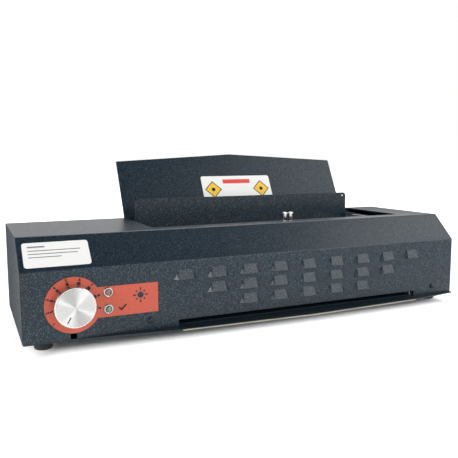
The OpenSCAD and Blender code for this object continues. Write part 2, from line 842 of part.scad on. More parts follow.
// Hub with seven pitched blades.
module fan_rotor() {
    blades = 7;
    color([0.16, 0.16, 0.17]) {
        rod_y(fan_y0 + 1.8, fan_y1 - 0.8, fan_x, fan_z, 9);
        for (i = [0:blades - 1])
            translate([fan_x, (fan_y0 + fan_y1) / 2 + 0.4, fan_z]) rotate([0, i * 360 / blades, 0])
                translate([8.6, 0, 0]) rotate([38, 0, 0]) translate([0, -0.5, -4.2]) cube([8.8, 1, 8.4]);
    }
}

// Wire finger guard outside the rear panel.
module fan_guard() {
    y0 = housing_d + 0.6;
    color([0.75, 0.76, 0.77]) {
        for (r = [6, 12, 18])
            translate([fan_x, y0 + 1.2, fan_z]) rotate([90, 0, 0])
                rotate_extrude() translate([r, 0]) circle(0.7, $fn = 16);
        for (a = [0:90:270])
            translate([fan_x, y0 + 2.4, fan_z]) rotate([0, a + 45, 0]) translate([5.4, 0, 0]) rotate([0, 90, 0])
                cylinder(h = 17, r = 0.65, $fn = 16);
        for (sx = [-1, 1], sz = [-1, 1])
            rod_y(housing_d + eps, y0 + 3, fan_x + sx * fan_screw, fan_z + sz * fan_screw, 3);
    }
}

// ---------- electronics ----------

board_x0 = -half_w + 8;
board_x1 = -half_w + 94;
board_y0 = 34;
board_y1 = 88;
board_z = 10;
board_top = board_z + 1.6;
post_xs = [board_x0 + 4, board_x1 - 4];
post_ys = [board_y0 + 4, board_y1 - 4];

module control_board() {
    color([0.1, 0.35, 0.2]) difference() {
        union() {
            box([board_x0, board_y0, board_z], [board_x1, board_y1, board_top]);
            for (x = post_xs, y = post_ys) rod_z(eps, board_z + eps, x, y, 2.6);
        }
        for (x = post_xs, y = post_ys) rod_z(1, board_top + 1, x, y, 1.3);
    }
}

module transformer() {
    x = board_x0 + 26;
    y = board_y1 - 20;
    z = board_top + eps;
    color([0.62, 0.5, 0.2]) {
        box([x - 18, y - 12, z], [x + 18, y + 12, z + 26]);
        box([x - 11, y - 16, z + 4], [x + 11, y - 12 - eps, z + 22]);
        box([x - 11, y + 12 + eps, z + 4], [x + 11, y + 16, z + 22]);
    }
}

// Relay, capacitors, finned heat sink and terminal blocks.
module board_components() {
    z = board_top + eps;
    color([0.2, 0.24, 0.4]) {
        box([board_x0 + 52, board_y1 - 22, z], [board_x0 + 72, board_y1 - 8, z + 15]);
        for (i = [0:1]) rod_z(z, z + 16, board_x0 + 54 + i * 15, board_y0 + 24, 5.5);
        box([board_x0 + 10, board_y0 + 8, z], [board_x0 + 40, board_y0 + 10.5, z + 20]);
        for (x = [board_x0 + 11:5.4:board_x0 + 38.2])
            box([x, board_y0 + 10, z + 3], [x + 1.2, board_y0 + 17, z + 20]);
        for (x = [board_x0 + 46:7.6:board_x0 + 69])
            box([x, board_y0 + 3, z], [x + 7, board_y0 + 11, z + 9]);
    }
}

// Dial's potentiometer, with its threaded neck and nut in front of the panel.
module potentiometer() {
    y0 = sheet + eps;
    nut_h = 2.2;
    color([0.55, 0.55, 0.53]) difference() {
        union() {
            rod_y(y0, y0 + 11, dial_x, dial_z, 8.6);
            rod_y(-2.4, y0 + eps, dial_x, dial_z, 3.5);
            difference() {
                translate([dial_x, -nut_h, dial_z]) rotate([-90, 0, 0]) rotate(30)
                    cylinder(h = nut_h - label_t - eps, r = 5.8, $fn = 6);
                rod_y(-3, 0, dial_x, dial_z, 3.52);
            }
            for (x = [dial_x - 5, dial_x, dial_x + 5])
                box([x - 1, y0 + 5, dial_z - 13], [x + 1, y0 + 5.6, dial_z - 8]);
        }
        rod_y(-5, y0 + 8, dial_x, dial_z, 2.05);
    }
}

module dial_shaft() {
    color([0.8, 0.8, 0.78]) rod_y(-knob_h + 3, sheet + 7, dial_x, dial_z, 2);
}

// Knob body, hollow behind so that it clears the nut.
module dial_knob() {
    r = knob_d / 2;
    color([0.62, 0.63, 0.64]) translate([dial_x, 0, dial_z]) rotate([90, 0, 0]) difference() {
        rotate_extrude($fn = 96) polygon([
            [2, 3.2], [7.5, 3.2], [7.5, 0.9], [r - 0.7, 0.9], [r, 1.6], [r, knob_h - 1.6],
            [r - 0.4, knob_h - 1.1], [r - 1.2, knob_h - 1], [r - 1.2, knob_h - 1.4], [0, knob_h - 1.4],
            [0, knob_h - 3], [2, knob_h - 3]
        ]);
    }
}

// Turned aluminium disc in the knob's face, with the pointer groove.
module dial_knob_cap() {
    r = knob_d / 2 - 1.22;
    color([0.88, 0.88, 0.87]) difference() {
        rod_y(knob_y0, knob_y0 + 1.38, dial_x, dial_z, r);
        translate([dial_x, knob_y0, dial_z]) rotate([0, pointer_rest, 0])
            translate([-0.35, -1, -13.2]) cube([0.7, 1.3, 5.2]);
    }
}

// Raised printed panel: a disc round the dial and a strip under the two lamps.
module control_label() {
    strip_x1 = -half_w + 107.9;
    color([0.8, 0.28, 0.22]) difference() {
        along_y(-label_t, -eps) union() {
            translate([dial_x, dial_z]) circle(dial_disc_r, $fn = 96);
            polygon([
                [dial_x, 15], [strip_x1, 15], [strip_x1, 39.8], [dial_x, 39.8]
            ]);
        }
        rod_y(-2, 1, dial_x, dial_z, 3.7);
        for (z = [power_lamp_z, ready_lamp_z]) rod_y(-2, 1, lamp_x, z, lamp_hole_r + 0.05);
    }
}

// ---------- indicator lamps ----------

module indicator_bezels() {
    color([0.75, 0.75, 0.74]) for (z = [power_lamp_z, ready_lamp_z])
        translate([lamp_x, 0, z]) rotate([90, 0, 0]) difference() {
            rotate_extrude() polygon([
                [2.8, -14], [lamp_hole_r - 0.05, -14], [lamp_hole_r - 0.05, label_t + 0.02],
                [4, label_t + 0.02], [4, 0.9], [3.5, 1.5], [2.8, 1.3]
            ]);
            translate([0, 0, -20]) cylinder(h = 2, r = 1);
        }
}

module lamp_lens(z) {
    translate([lamp_x, 0, z]) rotate([90, 0, 0]) rotate_extrude() polygon([
        [0, -15], [2.75, -15], [2.75, 0.8], [2, 1.7], [1, 2.1], [0, 2.2]
    ]);
}

module power_lamp_lens() color([0.62, 0.42, 0.4]) lamp_lens(power_lamp_z);
module ready_lamp_lens() color([0.4, 0.52, 0.42]) lamp_lens(ready_lamp_z);

// ---------- feed switch and thermostat ----------

lever_y = 18;
lever_z = 27;

module feed_switch() {
    color([0.13, 0.13, 0.14]) difference() {
        union() {
            box([switch_x + 1.5, lever_y - 8, lever_z - 5], [switch_x + 8, lever_y + 12, lever_z + 5]);
            rod_x(switch_x - 1.6, switch_x + 1.6, lever_y, lever_z, 1);
            box([switch_x + 1.5, lever_y - 12, lever_z + 5 - eps], [switch_x + 8, lever_y + 12, lever_z + 6.4]);
            box([frame_x0 + eps, lever_y - 12, lever_z + 5], [switch_x + 1.6, lever_y - 8, lever_z + 6.4]);
            box([frame_x0 + eps, lever_y - 12, lever_z - 4], [frame_x0 + 1.4, lever_y - 8, lever_z + 6.4]);
        }
        rod_x(switch_x + 1, switch_x + 9, lever_y + 8, lever_z + 1.5, 1.2);
    }
}

// Bent arm that a sheet pushes back and up.
module feed_switch_lever() {
    color([0.82, 0.82, 0.8]) difference() {
        union() {
            rod_x(switch_x - 1.2, switch_x + 1.2, lever_y, lever_z, 2.6);
            along_x(switch_x - 0.5, switch_x + 0.5) polygon([
                [lever_y - 1.6, lever_z - 1.6], [lever_y + 9.6, lever_z - 19.5], [lever_y + 12, lever_z - 21.2],
                [lever_y + 13.4, lever_z - 20], [lever_y + 11.8, lever_z - 17.8], [lever_y + 2, lever_z + 1.2]
            ]);
        }
        rod_x(switch_x - 3, switch_x + 3, lever_y, lever_z, 1 + run_gap);
    }
}

// Bimetal thermostat on an arm from the cross bar, just over the drum.
module thermostat() {
    x = path_x + 60;
    color([0.8, 0.8, 0.78]) {
        rod_z(68, 72, x, drum_y + 4, 8);
        rod_z(72 + eps, 74.5, x, drum_y + 4, 5);
        box([x - 5, 61.5, 71], [x + 5, drum_y, 71.8]);
        for (s = [-1, 1]) box([x + s * 3.4 - 1, drum_y + 3.6, 74.5], [x + s * 3.4 + 1, drum_y + 4.4, 76.5]);
    }
}

// ---------- mains inlet, feet, screws and labels ----------

module mains_inlet() {
    y1 = housing_d + inlet_rim;
    color([0.08, 0.08, 0.09]) difference() {
        union() {
            along_y(housing_d + eps, y1) translate([inlet_x, inlet_z]) polygon(rounded([
                [-25, -11.6], [25, -11.6], [25, 11.6], [-25, 11.6]
            ], 3));
            box(
                [inlet_x - 13.4, housing_d - 20, inlet_z - 9.6],
                [inlet_x + 13.4, housing_d + 0.1, inlet_z + 9.6]
            );
        }
        along_y(housing_d - 16, y1 + 1) translate([inlet_x, inlet_z]) polygon([
            [-11.5, -7], [11.5, -7], [11.5, 3.5], [8, 7], [-8, 7], [-11.5, 3.5]
        ]);
        for (s = [-1, 1]) rod_y(housing_d - 1, y1 + 1, inlet_x + s * inlet_screw, inlet_z, screw_hole_r + 0.05);
    }
    color([0.75, 0.75, 0.73]) for (p = [[-6.6, -1.4], [0, 2.4], [6.6, -1.4]])
        box(
            [inlet_x + p[0] - 1, housing_d - 16 - eps, inlet_z + p[1] - 2],
            [inlet_x + p[0] + 1, housing_d - 3, inlet_z + p[1] + 2]
        );
}

module rubber_feet() {
    color([0.06, 0.06, 0.065]) for (s = [-1, 1], y = foot_ys)
        translate([s * (half_w - foot_inset_x), y, -sheet - foot_h]) difference() {
            rotate_extrude() polygon([
                [0, 0], [foot_r - 1.9, 0], [foot_r - 0.9, 0.5], [foot_r - 0.35, 1.7],
                [foot_r, foot_h - 0.02], [0, foot_h - 0.02]
            ]);
            translate([0, 0, -1]) cylinder(h = 4, r = 2.6);
        }
}

module screw_y(x, y_face, z, s) {
    head = y_face + s * screw_head_h;
    tip = y_face - s * screw_depth;
    face = y_face + s * eps;
    rod_y(min(face, head), max(face, head), x, z, screw_head_r);
    rod_y(min(face, tip), max(face, tip), x, z, screw_r);
}

// Front, rear and inlet screws.
module housing_screws() {
    color([0.07, 0.07, 0.075]) {
        for (x = front_screws_x) screw_y(x, 0, front_screw_z, -1);
        for (x = rear_screws_x) screw_y(x, housing_d + sheet + eps, rear_screw_z, 1);
        for (s = [-1, 1]) screw_y(inlet_x + s * inlet_screw, housing_d + inlet_rim, inlet_z, 1);
    }
}

// Blank white sticker on the sloping face.
module caution_label() {
    rise = atan2(housing_h - crease_h, slope_d);
    color([0.95, 0.95, 0.94]) translate([-half_w + 29.5, 0, crease_h]) rotate([rise, 0, 0])
        translate([0, 0, eps]) linear_extrude(label_t) polygon(rounded([
            [-25.5, 3.7], [25.5, 3.7], [25.5, 28], [-25.5, 28]
        ], 2.4));
}

// White sticker on the deflector's face.
module safety_label() {
    color([0.95, 0.95, 0.94]) translate([path_x, housing_d + eps, housing_h]) rotate([-deflector_lean, 0, 0])
        translate([0, -eps, 0]) along_y(-label_t, 0) polygon(rounded([
            [-43, 10], [43, 10], [43, 45.4], [-43, 45.4]
        ], 2.4));
}

// ---------- placing ----------

rear_y = housing_d + deflector_peak * sin(deflector_lean) + sheet * cos(deflector_lean);
front_y = -lip_peak - 2 * hem_r;
module placed() {
    translate([0, -(front_y + rear_y) / 2, sheet + foot_h]) children();
}

placed() {
    base_tray();
    housing_cover();
    rear_panel();
    exit_deflector();
    exit_guide();
    exit_chute();
    feed_ramp();
    upper_feed_guide();
    feed_lip_hem();
    side_frame_left();
    side_frame_right();
    tie_rods();
    upper_cross_bar();
    guide_studs();
    glass_drum();
    drum_end_caps();
    drum_sleeves();
    heat_lamp_tube();
    heat_lamp_filament();
    lamp_end_ceramics();
    lamp_holders();
    reflector();
    transport_belt();
    drive_roller();
    drive_roller_shaft();
    drive_gear();
    entry_roller();
    entry_roller_shaft();
    exit_roller();
    exit_roller_shaft();
    roller_bushes();
    idler_gear();
    idler_axle();
    motor_pinion();
    motor_shaft();
    gearbox();
    motor_can();
    motor_bracket();
    fan_frame();
    fan_rotor();
    fan_guard();
    control_board();
    transformer();
    board_components();
    potentiometer();
    dial_shaft();
    dial_knob();
    dial_knob_cap();
    control_label();
    indicator_bezels();
    power_lamp_lens();
    ready_lamp_lens();
    feed_switch();
    feed_switch_lever();
    thermostat();
    mains_inlet();
    rubber_feet();
    housing_screws();
    caution_label();
    safety_label();
}
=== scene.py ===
import json
from math import cos, pi, radians, sin

import bmesh
import bpy
from mathutils import Matrix, Vector


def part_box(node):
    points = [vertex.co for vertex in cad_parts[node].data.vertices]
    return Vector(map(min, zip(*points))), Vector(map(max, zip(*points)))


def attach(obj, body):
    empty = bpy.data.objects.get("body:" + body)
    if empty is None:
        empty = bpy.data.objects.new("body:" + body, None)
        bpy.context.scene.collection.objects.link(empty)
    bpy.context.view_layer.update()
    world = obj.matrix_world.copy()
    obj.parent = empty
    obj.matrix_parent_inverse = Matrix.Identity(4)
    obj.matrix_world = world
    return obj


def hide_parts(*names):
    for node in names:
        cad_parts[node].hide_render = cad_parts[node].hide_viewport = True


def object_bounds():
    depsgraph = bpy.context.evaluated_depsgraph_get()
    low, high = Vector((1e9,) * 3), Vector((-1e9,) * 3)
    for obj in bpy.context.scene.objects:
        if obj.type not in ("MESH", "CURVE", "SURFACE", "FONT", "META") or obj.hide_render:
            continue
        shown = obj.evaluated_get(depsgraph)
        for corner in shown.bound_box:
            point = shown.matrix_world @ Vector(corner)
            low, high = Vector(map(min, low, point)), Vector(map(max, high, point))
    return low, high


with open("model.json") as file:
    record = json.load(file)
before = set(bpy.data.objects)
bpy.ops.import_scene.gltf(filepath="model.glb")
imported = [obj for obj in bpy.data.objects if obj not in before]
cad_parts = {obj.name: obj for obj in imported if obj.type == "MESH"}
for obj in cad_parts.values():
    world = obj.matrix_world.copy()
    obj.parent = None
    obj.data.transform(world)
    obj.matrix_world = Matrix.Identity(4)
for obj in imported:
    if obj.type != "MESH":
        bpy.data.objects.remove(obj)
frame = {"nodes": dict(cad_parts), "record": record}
cad_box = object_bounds()
NODES = frame["nodes"]
MM = 0.001

# ---------- places, read from the frame ----------

label_low, label_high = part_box("control_label")
front_y = label_high.y
panel_face_y = label_low.y

# The tray stops 0.6 mm short of the housing's left side, and its sheet is 1.2 mm thick, under the housing's edge.
tray_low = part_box("base_tray")[0]
left_x = tray_low.x - 0.6 * MM
base_z = tray_low.z + 1.2 * MM
housing_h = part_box("housing_cover")[1].z - base_z

knob_low, knob_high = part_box("dial_knob")
dial_centre = (knob_low + knob_high) / 2
knob_face_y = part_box("dial_knob_cap")[0].y

# Middle of the paper path, which the rear sticker is centred on.
sticker_low, sticker_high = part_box("safety_label")
path_x = (sticker_low.x + sticker_high.x) / 2


def surface(origin, up):
    """Matrix of a printed surface: u to the right, v along up, w out of the surface."""
    u = Vector((1, 0, 0))
    v = Vector(up).normalized()
    w = u.cross(v)
    rows = [(u[i], v[i], w[i], origin[i]) for i in range(3)]
    return Matrix(rows + [(0, 0, 0, 1)])


# ---------- materials ----------


def fill_ramp(node, stops):
    """Sets a colour ramp's (place, colour) stops."""
    elements = node.color_ramp.elements
    while len(elements) < len(stops):
        elements.new(0.5)
    for element, (place, colour) in zip(elements, stops):
        element.position = place
        element.color = (*colour, 1)


class Shader:
    """A node material with a Principled shader, and short calls for the nodes around it."""

    def __init__(self, name, **settings):
        self.material = bpy.data.materials.new(name)
        self.material.use_nodes = True
        self.tree = self.material.node_tree
        self.bsdf = self.tree.nodes["Principled BSDF"]
        self.coordinates = self.tree.nodes.new("ShaderNodeTexCoord").outputs["Object"]
        for key, value in settings.items():
            self.bsdf.inputs[key.replace("_", " ")].default_value = value

    def join(self, source, target):
        self.tree.links.new(source, target)

    def stretched(self, x, y, z):
        node = self.tree.nodes.new("ShaderNodeMapping")
        node.inputs["Scale"].default_value = (x, y, z)
        self.join(self.coordinates, node.inputs["Vector"])
        return node.outputs["Vector"]

    def noise(self, scale, detail=2.0, roughness=0.5, vector=None):
        node = self.tree.nodes.new("ShaderNodeTexNoise")
        node.inputs["Scale"].default_value = scale
        node.inputs["Detail"].default_value = detail
        node.inputs["Roughness"].default_value = roughness
        self.join(vector or self.coordinates, node.inputs["Vector"])
        return node.outputs["Fac"]

    def cells(self, scale):
        node = self.tree.nodes.new("ShaderNodeTexVoronoi")
        node.inputs["Scale"].default_value = scale
        self.join(self.coordinates, node.inputs["Vector"])
        return node.outputs["Distance"]

    def ramp(self, value, stops):
        node = self.tree.nodes.new("ShaderNodeValToRGB")
        fill_ramp(node, stops)
        self.join(value, node.inputs["Fac"])
        return node.outputs["Color"]

    def span(self, value, low, high):
        node = self.tree.nodes.new("ShaderNodeMapRange")
        node.inputs["To Min"].default_value = low
        node.inputs["To Max"].default_value = high
        self.join(value, node.inputs["Value"])
        return node.outputs["Result"]

    def math(self, operation, a, b):
        node = self.tree.nodes.new("ShaderNodeMath")
        node.operation = operation
        for socket, item in zip(node.inputs, (a, b)):
            if isinstance(item, (int, float)):
                socket.default_value = item
            else:
                self.join(item, socket)
        return node.outputs["Value"]

    def mix_towards(self, factor, varied, plain):
        """A varied colour, faded by a factor towards a plain one."""
        node = self.tree.nodes.new("ShaderNodeMix")
        node.data_type = "RGBA"
        colour_a, colour_b = node.inputs[6], node.inputs[7]
        self.join(factor, node.inputs["Factor"])
        self.join(varied, colour_a)
        colour_b.default_value = (*plain, 1)
        return node.outputs[2]

    def bump(self, height, distance, strength):
        node = self.tree.nodes.new("ShaderNodeBump")
        node.inputs["Distance"].default_value = distance
        node.inputs["Strength"].default_value = strength
        self.join(height, node.inputs["Height"])
        self.join(node.outputs["Normal"], self.bsdf.inputs["Normal"])

    def colour(self, output):
        self.join(output, self.bsdf.inputs["Base Color"])

    def roughness(self, output):
        self.join(output, self.bsdf.inputs["Roughness"])


def powder_coat(name, dark, middle, light, rough):
    """Fine hammered powder coat: small light flecks, a pebbled skin, and less gloss at a glancing angle."""
    s = Shader(name, IOR=1.42)
    flecks = s.noise(1300, detail=4, roughness=0.8)
    fleck_colour = s.ramp(flecks, [(0.48, dark), (0.55, middle), (0.63, light)])
    cloud = s.noise(14, detail=2)
    s.colour(s.mix_towards(s.span(cloud, 0.0, 0.15), fleck_colour, middle))
    glancing = 0.905
    facing = s.tree.nodes.new("ShaderNodeLayerWeight").outputs["Facing"]
    past = s.math("MAXIMUM", s.math("SUBTRACT", facing, glancing), 0.0)
    pebbles = s.span(s.noise(500, detail=2), rough - 0.06, rough + 0.08)
    s.roughness(s.math("ADD", pebbles, s.math("MULTIPLY", past, 14.0)))
    s.bump(s.noise(1100, detail=2, roughness=0.6), 0.00005, 0.7)
    return s.material


def plated_steel(name, dark, light, rough):
    """Zinc plated sheet: soft spangle with faint rolling lines."""
    s = Shader(name, Metallic=1.0)
    s.colour(s.ramp(s.cells(160), [(0.1, dark), (0.75, light)]))
    rolled = s.noise(900, detail=1, vector=s.stretched(0.02, 1, 1))
    s.roughness(s.span(rolled, rough - 0.07, rough + 0.1))
    s.bump(rolled, 0.00003, 0.5)
    return s.material


def turned_steel(name, dark, light, rough, along=(0.02, 1, 1)):
    """Ground or drawn metal with fine lines along one axis."""
    s = Shader(name, Metallic=1.0)
    lines = s.noise(2400, detail=1, vector=s.stretched(*along))
    s.colour(s.ramp(lines, [(0.3, dark), (0.7, light)]))
    s.roughness(s.span(s.noise(90), rough - 0.04, rough + 0.06))
    s.bump(lines, 0.00002, 0.4)
    return s.material


def moulded(name, dark, light, rough, grain=900, depth=0.00005, **settings):
    """Moulded plastic, rubber or resin with a fine spark-eroded grain."""
    s = Shader(name, **settings)
    s.colour(s.ramp(s.noise(60, detail=4), [(0.3, dark), (0.7, light)]))
    s.roughness(s.span(s.noise(220, detail=2), rough - 0.05, rough + 0.07))
    s.bump(s.noise(grain, detail=2), depth, 0.6)
    return s.material


def printed(name, ink, worn, rough=0.5):
    """Screen-printed ink or vinyl, with a faint unevenness in the layer."""
    s = Shader(name)
    s.colour(s.ramp(s.noise(700, detail=3), [(0.35, ink), (0.75, worn)]))
    s.roughness(s.span(s.noise(260), rough - 0.05, rough + 0.08))
    s.bump(s.noise(1500), 0.00001, 0.4)
    return s.material


def clear(name, tint, rough, ior):
    """Glass with a faint smudging of the surface."""
    s = Shader(name, Transmission_Weight=1.0, IOR=ior)
    s.colour(s.ramp(s.noise(20), [(0.3, tint), (0.7, (0.97, 0.98, 0.98))]))
    s.roughness(s.span(s.noise(35, detail=4), rough, rough + 0.05))
    return s.material


def tinted_lens(name, deep, pale):
    """Unlit indicator lens: tinted plastic with light caught in its flutes."""
    s = Shader(name, Transmission_Weight=0.25, IOR=1.49, Coat_Weight=0.6, Coat_Roughness=0.08)
    s.colour(s.ramp(s.noise(900, detail=2), [(0.3, deep), (0.7, pale)]))
    s.roughness(s.span(s.noise(400), 0.18, 0.3))
    return s.material


def spun_aluminium(name):
    """Disc faced on a lathe: rings round its centre, and the double cone of light that they give."""
    s = Shader(name, Metallic=1.0, Anisotropic=0.95)
    place = s.tree.nodes.new("ShaderNodeSeparateXYZ")
    s.join(s.coordinates, place.inputs["Vector"])
    dx = s.math("SUBTRACT", place.outputs["X"], dial_centre.x)
    dz = s.math("SUBTRACT", place.outputs["Z"], dial_centre.z)
    squared = s.math("ADD", s.math("MULTIPLY", dx, dx), s.math("MULTIPLY", dz, dz))
    rings = s.tree.nodes.new("ShaderNodeCombineXYZ")
    s.join(s.math("SQRT", squared, 0), rings.inputs["X"])
    grooves = s.noise(9000, detail=2, vector=rings.outputs["Vector"])
    s.colour(s.ramp(grooves, [(0.3, (0.6, 0.6, 0.585)), (0.7, (0.76, 0.76, 0.74))]))
    s.roughness(s.span(s.noise(2500, vector=rings.outputs["Vector"]), 0.42, 0.54))

    # The gloss is stretched along the radius, which gives the two bright cones.
    outwards = s.tree.nodes.new("ShaderNodeCombineXYZ")
    s.join(dx, outwards.inputs["X"])
    s.join(dz, outwards.inputs["Z"])
    turned = s.tree.nodes.new("ShaderNodeVectorTransform")
    turned.vector_type = "VECTOR"
    turned.convert_from = "OBJECT"
    turned.convert_to = "WORLD"
    s.join(outwards.outputs["Vector"], turned.inputs["Vector"])
    s.join(turned.outputs["Vector"], s.bsdf.inputs["Tangent"])
    s.bump(grooves, 0.000004, 0.5)
    return s.material


NAVY = ((0.001, 0.0065, 0.0135), (0.0045, 0.015, 0.0245), (0.085, 0.133, 0.17))
TEAL = ((0.002, 0.008, 0.012), (0.006, 0.018, 0.026), (0.04, 0.065, 0.08))
ALONG_Y = (1, 0.03, 1)
ALONG_Z = (1, 1, 0.05)
MATERIALS = {
    "housing_paint": powder_coat("housing_paint", *NAVY, 0.34),
    "tray_paint": powder_coat("tray_paint", *TEAL, 0.42),
    "galvanised_steel": plated_steel("galvanised_steel", (0.46, 0.47, 0.47), (0.66, 0.67, 0.66), 0.38),
    "bright_steel": turned_steel("bright_steel", (0.52, 0.52, 0.52), (0.72, 0.72, 0.71), 0.28),
    "polished_steel": turned_steel("polished_steel", (0.5, 0.5, 0.5), (0.68, 0.68, 0.67), 0.14, ALONG_Z),
    "spun_aluminium": spun_aluminium("spun_aluminium"),
    "knob_grey": turned_steel("knob_grey", (0.6, 0.6, 0.6), (0.8, 0.8, 0.79), 0.26, ALONG_Y),
    "reflector_aluminium": turned_steel("reflector_aluminium", (0.8, 0.8, 0.8), (0.92, 0.92, 0.92), 0.12),
    # Painted reflection: the hem's light cream colour stands in for the bright reflection of the white floor in
    # the feed tongue's bent front edge.
    "hem_cream": moulded("hem_cream", (0.22, 0.21, 0.165), (0.34, 0.325, 0.26), 0.42, 1500),
    "drum_glass": clear("drum_glass", (0.84, 0.93, 0.92), 0.03, 1.47),
    "quartz": clear("quartz", (0.92, 0.94, 0.95), 0.02, 1.46),
    "tungsten": turned_steel("tungsten", (0.16, 0.15, 0.15), (0.3, 0.29, 0.28), 0.5),
    "lamp_ceramic": moulded("lamp_ceramic", (0.72, 0.69, 0.62), (0.86, 0.83, 0.76), 0.62, 1600),
    "sleeve_plastic": moulded("sleeve_plastic", (0.42, 0.29, 0.12), (0.56, 0.41, 0.2), 0.5),
    "belt_rubber": moulded("belt_rubber", (0.028, 0.03, 0.03), (0.055, 0.058, 0.058), 0.68, 1300, 0.00012),
    "drive_rubber": moulded("drive_rubber", (0.015, 0.015, 0.016), (0.035, 0.035, 0.037), 0.72, 1800, 0.0001),
    "roller_silicone": moulded("roller_silicone", (0.25, 0.05, 0.03), (0.36, 0.09, 0.055), 0.5, 1400),
    "bronze": turned_steel("bronze", (0.46, 0.29, 0.12), (0.66, 0.45, 0.22), 0.36),
    "gear_acetal": moulded("gear_acetal", (0.66, 0.63, 0.54), (0.8, 0.77, 0.68), 0.42, 1600),
    "pinion_brass": turned_steel("pinion_brass", (0.62, 0.45, 0.16), (0.8, 0.63, 0.28), 0.3),
    "gearbox_zinc": moulded("gearbox_zinc", (0.34, 0.34, 0.33), (0.5, 0.5, 0.48), 0.5, 700, 0.0001, Metallic=1.0),
    "motor_steel": moulded("motor_steel", (0.045, 0.045, 0.05), (0.09, 0.09, 0.1), 0.4, 1400),
    "black_plastic": moulded("black_plastic", (0.009, 0.009, 0.01), (0.022, 0.022, 0.024), 0.46, 1200, 0.00008),
    "board_green": moulded("board_green", (0.008, 0.075, 0.03), (0.02, 0.14, 0.06), 0.34, 600),
    "transformer_core": moulded("transformer_core", (0.14, 0.085, 0.025), (0.3, 0.19, 0.06), 0.42, 700),
    "component_blue": moulded("component_blue", (0.02, 0.03, 0.09), (0.05, 0.07, 0.17), 0.38),
    "pot_metal": turned_steel("pot_metal", (0.4, 0.4, 0.38), (0.6, 0.6, 0.58), 0.35, ALONG_Y),
    "panel_red": printed("panel_red", (0.425, 0.063, 0.03), (0.49, 0.08, 0.04), 0.42),
    "bezel_metal": turned_steel("bezel_metal", (0.4, 0.4, 0.39), (0.62, 0.62, 0.6), 0.22, ALONG_Y),
    "lens_red": tinted_lens("lens_red", (0.16, 0.04, 0.035), (0.42, 0.2, 0.18)),
    "lens_green": tinted_lens("lens_green", (0.06, 0.12, 0.07), (0.3, 0.42, 0.3)),
    "foot_rubber": moulded("foot_rubber", (0.008, 0.008, 0.009), (0.02, 0.02, 0.021), 0.66, 1500, 0.0001),
    "screw_black": turned_steel("screw_black", (0.02, 0.02, 0.021), (0.06, 0.06, 0.062), 0.36, ALONG_Y),
    "label_white": printed("label_white", (0.86, 0.86, 0.835), (0.82, 0.82, 0.795), 0.38),
}
INK = {
    "black": printed("ink_black", (0.002, 0.002, 0.003), (0.006, 0.006, 0.007), 0.7),
    "teal": printed("ink_teal", (0.004, 0.016, 0.024), (0.008, 0.026, 0.036), 0.65),
    "grey": printed("ink_grey", (0.2, 0.2, 0.22), (0.3, 0.3, 0.32)),
    "red": printed("ink_red", (0.72, 0.03, 0.03), (0.8, 0.06, 0.05)),
    "yellow": printed("ink_yellow", (0.86, 0.5, 0.015), (0.9, 0.58, 0.04)),
}


def dress_nodes():
    """Gives each CAD node its slot's material."""
    for part in frame["record"]["subparts"]:
        mesh = NODES[part["node"]].data
        mesh.materials.clear()
        mesh.materials.append(MATERIALS[part["material_slot"]])


# ---------- mesh helpers ----------


def new_piece(name, mesh, material, body):
    """An object of one material that rides on a body."""
    mesh.materials.clear()
    mesh.materials.append(material)
    piece = bpy.data.objects.new(name, mesh)
    bpy.context.scene.collection.objects.link(piece)
    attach(piece, body)
    return piece


def mesh_from(name, build, place=None):
    """A mesh filled by build(bm), moved by the matrix place."""
    bm = bmesh.new()
    build(bm)
    bmesh.ops.recalc_face_normals(bm, faces=bm.faces)
    if place is not None:
        bm.transform(place)
    mesh = bpy.data.meshes.new(name)
    bm.to_mesh(mesh)
    bm.free()
    return mesh


def add_prism(bm, outline, thickness, low=0.0):
    """A flat solid with a straight edge all round, standing on w = low."""
    rings = [[bm.verts.new((u, v, w)) for u, v in outline] for w in (low, low + thickness)]
    bm.faces.new(rings[0][::-1])
    bm.faces.new(rings[1])
    count = len(outline)
    for i in range(count):
        j = (i + 1) % count
        bm.faces.new((rings[0][i], rings[0][j], rings[1][j], rings[1][i]))


def plain_round(turn, r):
    return r


def add_lathe(bm, profile, steps, reach=plain_round):
    """Turns (radius, height) pairs round w. A radius of 0 closes the end; reach(turn, r) may flute the rest."""
    turns = [2 * pi * i / steps for i in range(steps)]
    rings = []
    for r, w in profile:
        if r == 0:
            rings.append([bm.verts.new((0, 0, w))])
        else:
            rings.append([bm.verts.new((reach(t, r) * cos(t), reach(t, r) * sin(t), w)) for t in turns])
    for a, b in zip(rings, rings[1:]):
        for i in range(steps):
            j = (i + 1) % steps
            corners = [a[i % len(a)], a[j % len(a)], b[j % len(b)], b[i % len(b)]]
            bm.faces.new(list(dict.fromkeys(corners)))


def disc(u, v, r):
    """A circle round (u, v), as an outline."""
    steps = 32
    return [(u + r * cos(2 * pi * i / steps), v + r * sin(2 * pi * i / steps)) for i in range(steps)]


def bar(u, v, width, height, turn=0.0):
    """A rectangle round (u, v), turned by an angle."""
    corners = ((-1, -1), (1, -1), (1, 1), (-1, 1))
    c, s = cos(turn), sin(turn)
    points = [(a * width / 2, b * height / 2) for a, b in corners]
    return [(u + c * x - s * y, v + s * x + c * y) for x, y in points]


def print_on(name, place, outlines, ink, body, lift=0.0, thickness=0.04 * MM):
    """Ink on a surface, as thin flat solids. Outlines are in millimetres."""

    def build(bm):
        for outline in outlines:
            add_prism(bm, [(u * MM, v * MM) for u, v in outline], thickness, lift)

    return new_piece(name, mesh_from(name, build, place), ink, body)


# ---------- edges of the CAD nodes ----------


def soften(node, width):
    """Rounds a node's sharp edges without changing its mesh."""
    piece = NODES[node]
    weld = piece.modifiers.new("weld", "WELD")
    weld.merge_threshold = 0.002 * MM
    bevel = piece.modifiers.new("edge", "BEVEL")
    bevel.width = width
    bevel.segments = 2
    bevel.limit_method = "ANGLE"
    bevel.angle_limit = radians(35)


